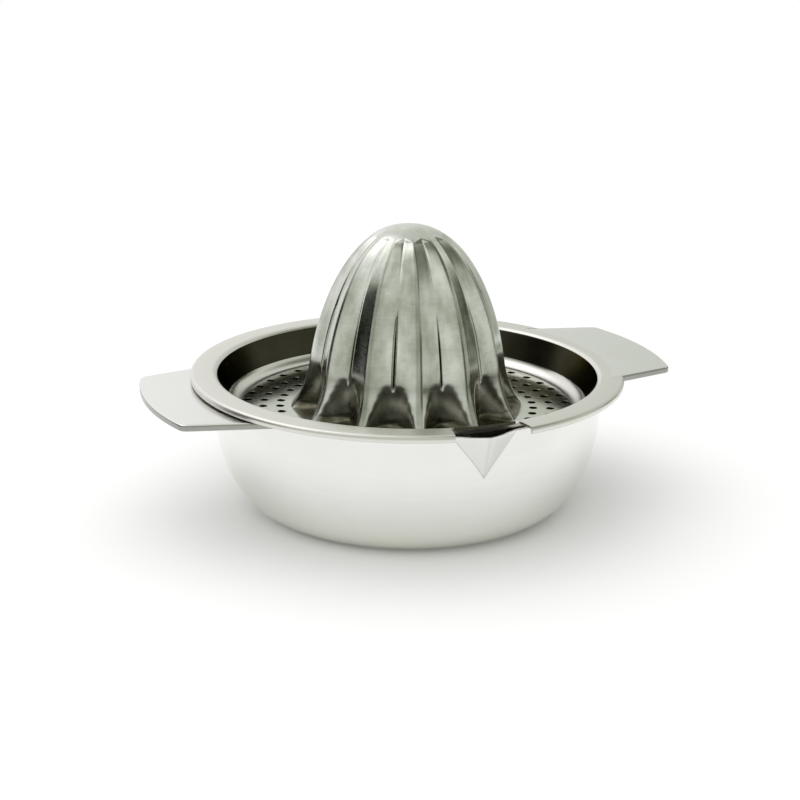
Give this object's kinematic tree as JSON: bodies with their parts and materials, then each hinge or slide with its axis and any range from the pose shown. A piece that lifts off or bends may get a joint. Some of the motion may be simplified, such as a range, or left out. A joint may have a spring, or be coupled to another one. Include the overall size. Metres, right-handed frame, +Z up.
{
  "type": "citrus juicer",
  "caption": "Hand citrus juicer of pressed steel: a ribbed reamer in a perforated strainer dish that hangs in a round bowl with a pouring spout, with a flat tab handle on each unit.",
  "frame": {"origin": "middle of the bowl's flat base, on the surface that the juicer stands on", "axes": "+Z up; +X towards the strainer's handle; -Y towards the pouring spout"},
  "size_m": [0.1712, 0.1381, 0.0913],
  "materials": {
    "polished_sheet": "mirror-polished stainless sheet",
    "satin_sheet": "satin stainless sheet, fine spun marks",
    "ribbed_sheet": "pressed stainless sheet, polished on the ribs"
  },
  "bodies": {
    "bowl_unit": {"bowl": "polished_sheet", "bowl_handle": "satin_sheet"},
    "strainer_unit": {"strainer": "satin_sheet", "strainer_handle": "satin_sheet", "reamer": "ribbed_sheet"}
  },
  "joints": [
    {"name": "strainer_lift", "type": "slide", "parent": "bowl_unit", "child": "strainer_unit", "axis": [0, 0, 1], "range_m": [0, 0.06]}
  ]
}
